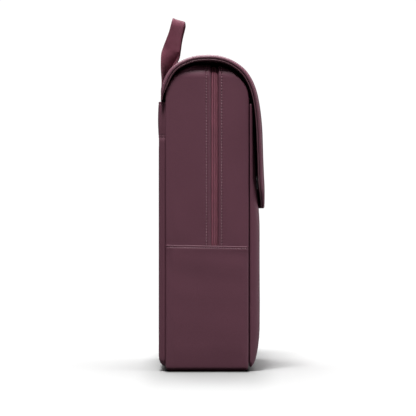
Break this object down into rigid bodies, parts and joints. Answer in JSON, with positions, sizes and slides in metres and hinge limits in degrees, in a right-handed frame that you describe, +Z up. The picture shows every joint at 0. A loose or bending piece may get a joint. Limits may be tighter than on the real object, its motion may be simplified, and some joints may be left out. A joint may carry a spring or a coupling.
{
  "type": "travel backpack",
  "caption": "Slim structured backpack with an over-the-top flap, zipped main compartment, front pocket, grab handle and flat-stowed shoulder straps.",
  "frame": {"origin": "centre of the flat face of the base that the bag stands on", "axes": "+Z up, -Y the front with the flap and front pocket, +Y the wearer's back, +X the wearer's right when it is worn"},
  "size_m": [0.3, 0.1459, 0.4849],
  "materials": {
    "outer_leather": "matte grained plum",
    "edge_leather": "matte plum edge binding",
    "webbing": "plum polyester webbing",
    "zip_tape": "plum woven tape",
    "zip_coil": "plum nylon coil",
    "dark_metal": "satin gunmetal",
    "lining_cloth": "woven lining",
    "foam": "closed-cell foam",
    "back_mesh": "padded spacer mesh",
    "board": "stiffener sheet",
    "buckle": "matte moulded buckle"
  },
  "bodies": {
    "bag": {"base_panel": "outer_leather", "rear_wall": "outer_leather", "front_wall": "outer_leather", "side_lower_left": "outer_leather", "side_lower_right": "outer_leather", "side_rear_left": "outer_leather", "side_rear_right": "outer_leather", "side_front_left": "outer_leather", "side_front_right": "outer_leather", "top_rear": "outer_leather", "top_front": "outer_leather", "lining": "lining_cloth", "zip_tape_left": "zip_tape", "zip_tape_right": "zip_tape", "zip_tape_top": "zip_tape", "zip_coil_left": "zip_coil", "zip_coil_right": "zip_coil", "zip_coil_top": "zip_coil", "base_board": "board", "frame_sheet": "board", "laptop_divider": "lining_cloth", "laptop_tab": "webbing", "slip_pocket": "lining_cloth", "front_pocket": "outer_leather", "front_foam": "foam", "snap_socket_left": "dark_metal", "snap_socket_right": "dark_metal", "back_layer": "back_mesh", "back_pad_left": "back_mesh", "back_pad_right": "back_mesh", "back_pad_centre": "back_mesh", "lumbar_pad": "back_mesh", "yoke_core": "foam", "yoke_band": "outer_leather", "shoulder_strap_left": "back_mesh", "shoulder_strap_right": "back_mesh", "ladder_lock_left": "buckle", "ladder_lock_right": "buckle", "strap_webbing_left": "webbing", "strap_webbing_right": "webbing"},
    "flap": {"flap_outer": "outer_leather", "flap_foam": "foam", "flap_lining": "lining_cloth", "flap_binding": "edge_leather", "snap_stud_left": "dark_metal", "snap_stud_right": "dark_metal"},
    "handle": {"grab_handle": "webbing"},
    "zip_slider": {"zip_slider": "dark_metal"},
    "zip_pull": {"zip_pull": "dark_metal", "zip_pull_tab": "edge_leather"}
  },
  "joints": [
    {"name": "flap_lift", "type": "hinge", "parent": "bag", "child": "flap", "pos_m": [0, 0.0705, 0.369], "axis": [-1, 0, 0], "range_deg": [0, 120]},
    {"name": "handle_fold", "type": "hinge", "parent": "flap", "child": "handle", "pos_m": [0, 0.0705, 0.369], "axis": [-1, 0, 0], "range_deg": [0, 55]},
    {"name": "zip_slide", "type": "slide", "parent": "bag", "child": "zip_slider", "axis": [0, 0, 1], "range_m": [0, 0.165]},
    {"name": "pull_swing", "type": "hinge", "parent": "zip_slider", "child": "zip_pull", "pos_m": [0.1483, -0.0071, 0.186], "axis": [0, -1, 0], "range_deg": [0, 160]}
  ]
}
